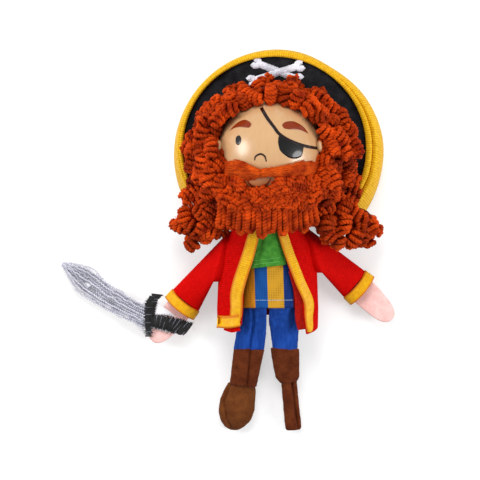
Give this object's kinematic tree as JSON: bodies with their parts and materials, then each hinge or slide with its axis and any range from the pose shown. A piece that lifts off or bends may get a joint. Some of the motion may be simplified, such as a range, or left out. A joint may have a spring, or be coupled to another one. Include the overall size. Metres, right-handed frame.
{
  "type": "finger puppet",
  "caption": "Pirate finger puppet lying on its back: wooden ball head, corkscrew yarn wig and beard, felt hat, coat, sword, boot and peg leg, with a cloth tube for a finger.",
  "frame": {"origin": "middle of the whole puppet's box, on the surface that it lies on", "axes": "+Z out of the face, away from the surface; +Y from the boots to the top of the hat; +X towards the free hand"},
  "size_m": [0.1224, 0.1396, 0.0434],
  "materials": {
    "varnished_wood": "satin varnish",
    "face_paint_dark": "gloss paint",
    "face_paint_brown": "gloss paint",
    "pink_felt": "felt",
    "ginger_yarn": "two-ply acrylic yarn",
    "black_felt": "felt",
    "yellow_ribbon": "grosgrain ribbon",
    "white_embroidery": "satin stitch",
    "striped_cotton": "woven stripes",
    "green_cotton": "woven cotton",
    "red_ribbed_cloth": "fine ribs",
    "silver_thread": "zigzag stitch",
    "black_thread": "satin stitch",
    "white_backing": "stiff interfacing",
    "blue_cotton": "woven cotton",
    "brown_felt": "felt"
  },
  "bodies": {
    "root": {"head_ball": "varnished_wood", "ear_sword_side": "pink_felt", "ear_free_side": "pink_felt", "painted_eye": "face_paint_dark", "painted_brow_sword_side": "face_paint_brown", "painted_brow_free_side": "face_paint_brown", "painted_nose": "face_paint_brown", "painted_lip": "pink_felt", "painted_patch_strap": "face_paint_dark", "painted_eye_patch": "face_paint_dark", "moustache": "ginger_yarn", "beard": "ginger_yarn", "wig": "ginger_yarn", "hat_back": "black_felt", "hat_front": "black_felt", "hat_ribbon": "yellow_ribbon", "crossbones": "white_embroidery", "finger_tube": "striped_cotton", "cravat": "green_cotton", "coat_body": "red_ribbed_cloth", "front_trim_sword_side": "yellow_ribbon", "front_trim_free_side": "yellow_ribbon", "hem_trim_sword_side": "yellow_ribbon", "sword_sleeve": "red_ribbed_cloth", "free_sleeve": "red_ribbed_cloth", "sword_cuff": "yellow_ribbon", "free_cuff": "yellow_ribbon", "sword_hand": "pink_felt", "free_hand": "pink_felt", "sword_backing": "white_backing", "sword_blade": "silver_thread", "sword_hilt": "black_thread", "trouser_leg_boot_side": "blue_cotton", "trouser_leg_peg_side": "blue_cotton", "boot_shaft": "brown_felt", "boot_foot": "brown_felt", "peg_boot_cuff": "brown_felt", "peg_leg": "brown_felt"}
  },
  "joints": []
}
